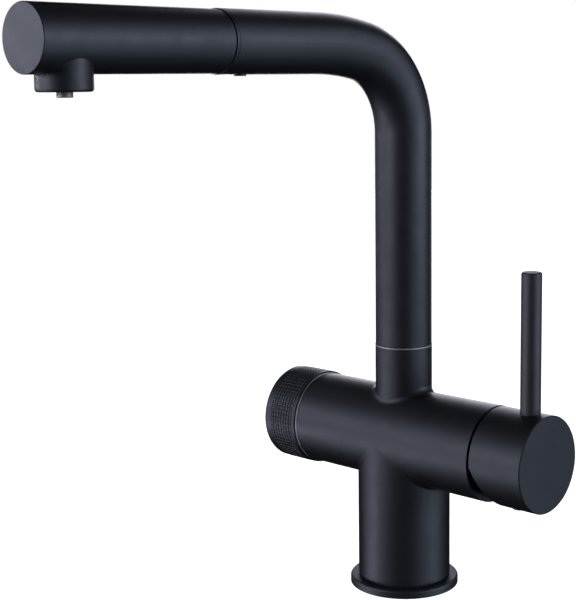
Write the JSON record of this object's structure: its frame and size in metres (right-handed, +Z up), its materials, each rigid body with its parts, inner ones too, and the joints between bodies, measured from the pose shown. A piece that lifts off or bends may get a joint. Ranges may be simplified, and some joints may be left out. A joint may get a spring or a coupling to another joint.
{
  "type": "kitchen mixer tap",
  "caption": "Matte black L-spout kitchen mixer with pull-out head, side lever and a separate knurled knob for filtered water.",
  "frame": {"origin": "axis of the column where it crosses the worktop surface", "axes": "+Z up along the column and swivel axis; the spout points to -Y; the mixing lever is at +X and the filtered-water knob at -X"},
  "size_m": [0.1733, 0.2613, 0.3786],
  "materials": {
    "black": "matte black powder coat",
    "bright": "polished",
    "steel": "plain",
    "brass": "machined",
    "rubber": "matte",
    "black_plastic": "moulded",
    "grey_plastic": "moulded",
    "white_plastic": "moulded",
    "ceramic": "lapped ceramic",
    "braid": "braided nylon sleeve"
  },
  "bodies": {
    "body": {"body_casting": "black", "deck_flange": "black", "deck_seal": "rubber", "column_seal": "rubber", "mount_shank": "brass", "clamp_gasket": "rubber", "clamp_washer": "steel", "clamp_nut": "brass", "neck_ring": "bright", "neck_screw": "steel", "knob_ring": "bright", "cartridge_seal": "rubber", "cartridge_housing": "grey_plastic", "cartridge_fixed_disc": "ceramic", "cartridge_nut": "black", "valve_seal": "rubber", "valve_headwork": "brass", "valve_fixed_disc": "ceramic"},
    "spout": {"spout_tube": "black", "spout_spigot": "brass", "spigot_oring_lower": "rubber", "spigot_oring_upper": "rubber", "spigot_glide": "white_plastic", "dock_collar": "black", "dock_screw": "steel", "pullout_hose": "braid", "hose_coupling": "brass"},
    "head": {"head_shell": "black", "head_plug": "black_plastic", "hose_nipple": "brass", "hose_ferrule": "steel", "head_waterway": "white_plastic", "aerator_cup": "black_plastic", "aerator_screen": "steel", "filter_nozzle": "bright"},
    "mixer_turret": {"cartridge_rotor": "white_plastic", "cartridge_pin": "steel"},
    "mixer_disc": {"cartridge_moving_disc": "ceramic", "cartridge_carrier": "white_plastic"},
    "lever": {"cartridge_stem": "brass", "handle_cap": "black", "lever_pin": "black", "handle_screw": "steel", "handle_plug": "black_plastic"},
    "knob": {"filter_knob": "black", "knob_grip": "black", "knob_screw": "steel", "valve_spindle": "brass", "valve_moving_disc": "ceramic"}
  },
  "joints": [
    {"name": "spout_swivel", "type": "hinge", "parent": "body", "child": "spout", "pos_m": [0, 0, 0.13], "axis": [0, 0, 1], "range_deg": [-180, 180]},
    {"name": "head_pull", "type": "slide", "parent": "spout", "child": "head", "axis": [0, -1, 0], "range_m": [0, 0.4], "deforming": ["pullout_hose"]},
    {"name": "temperature_turn", "type": "hinge", "parent": "body", "child": "mixer_turret", "pos_m": [0.057, 0, 0.0813], "axis": [1, 0, 0], "range_deg": [-45, 45]},
    {"name": "flow_tilt", "type": "hinge", "parent": "mixer_turret", "child": "lever", "pos_m": [0.057, 0, 0.0813], "axis": [0, 1, 0], "range_deg": [0, 20]},
    {"name": "disc_slide", "type": "slide", "parent": "mixer_turret", "child": "mixer_disc", "axis": [0, 0, 1], "range_m": [0, 0.0045]},
    {"name": "filter_turn", "type": "hinge", "parent": "body", "child": "knob", "pos_m": [-0.06, 0, 0.0813], "axis": [1, 0, 0], "range_deg": [0, 90]}
  ],
  "couplings": [
    {"joint": "disc_slide", "follows": "flow_tilt", "m_per_rad": 0.011758}
  ]
}
